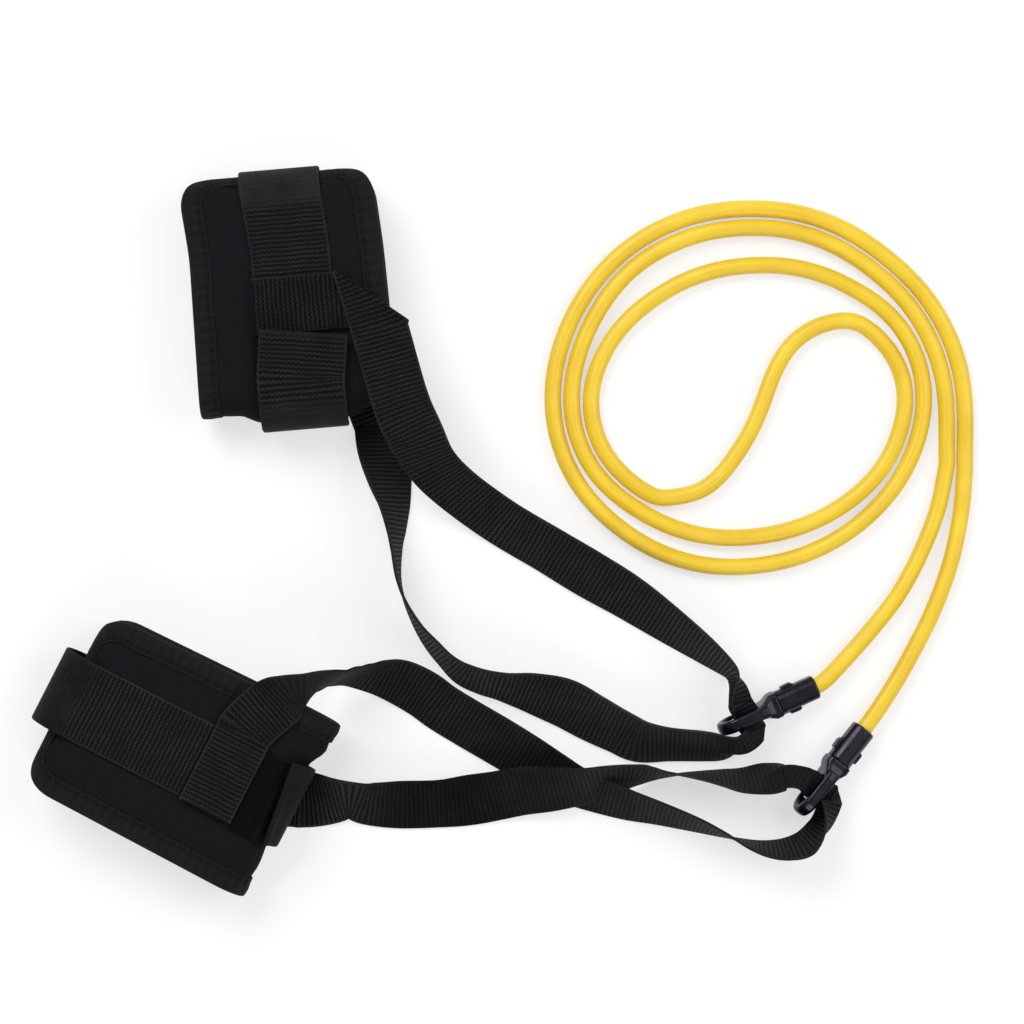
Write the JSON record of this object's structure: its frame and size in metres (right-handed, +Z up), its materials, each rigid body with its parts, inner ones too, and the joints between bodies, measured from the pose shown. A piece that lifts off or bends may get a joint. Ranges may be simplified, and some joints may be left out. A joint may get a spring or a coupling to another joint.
{
  "type": "stationary swim tether",
  "caption": "Swim tether with two padded ankle cuffs, webbing bridles and snap hooks on one coiled latex tube.",
  "frame": {"origin": "on the floor, under the middle of the cuffs, bridles and hooks, without the tube", "axes": "+X to the right of the picture and +Y to its top, as the tether lies on the floor; +Z up"},
  "size_m": [0.4948, 0.3828, 0.0549],
  "materials": {
    "neoprene": "matte knit-faced neoprene",
    "binding_tape": "matte woven tape",
    "webbing": "ribbed woven webbing",
    "loop_pile": "fuzzy loop pile",
    "hook_tape": "moulded hook tape",
    "hook_plastic": "satin-gloss moulded acetal",
    "steel": "drawn stainless steel",
    "latex": "semi-matte natural latex"
  },
  "bodies": {
    "tether": {"pad_1": "neoprene", "binding_1": "binding_tape", "belt_1": "webbing", "loop_strip_1": "loop_pile", "bridle_1": "webbing", "hook_frame_1": "hook_plastic", "clamp_sleeve_1": "hook_plastic", "gate_pin_1": "steel", "gate_spring_1": "steel", "tube_tail_1": "latex", "pad_2": "neoprene", "binding_2": "binding_tape", "belt_2": "webbing", "loop_strip_2": "loop_pile", "bridle_2": "webbing", "hook_frame_2": "hook_plastic", "clamp_sleeve_2": "hook_plastic", "gate_pin_2": "steel", "gate_spring_2": "steel", "tube_tail_2": "latex", "tube_coil": "latex"},
    "tongue_1": {"tongue_1": "webbing", "hook_strip_1": "hook_tape"},
    "tongue_2": {"tongue_2": "webbing", "hook_strip_2": "hook_tape"},
    "gate_1": {"gate_1": "hook_plastic"},
    "gate_2": {"gate_2": "hook_plastic"}
  },
  "joints": [
    {"name": "tongue_fold_1", "type": "hinge", "parent": "tether", "child": "tongue_1", "pos_m": [-0.07865, 0.07474, 0.0426], "axis": [0.9963, 0.0854, 0], "range_deg": [0, 150]},
    {"name": "tongue_fold_2", "type": "hinge", "parent": "tether", "child": "tongue_2", "pos_m": [-0.08236, -0.14503, 0.027], "axis": [0.454, 0.891, 0], "range_deg": [0, 110]},
    {"name": "gate_pivot_1", "type": "hinge", "parent": "tether", "child": "gate_1", "pos_m": [0.16345, -0.09348, 0.00314], "axis": [-0.4011, 0.9101, 0.1041], "range_deg": [0, 25], "stiffness_Nm_per_rad": 0.02, "springref_deg": -20.05, "deforming": ["gate_spring_1"]},
    {"name": "gate_pivot_2", "type": "hinge", "parent": "tether", "child": "gate_2", "pos_m": [0.19661, -0.1266, 0.00324], "axis": [-0.7545, 0.6228, 0.2072], "range_deg": [0, 25], "stiffness_Nm_per_rad": 0.02, "springref_deg": -20.05, "deforming": ["gate_spring_2"]}
  ]
}
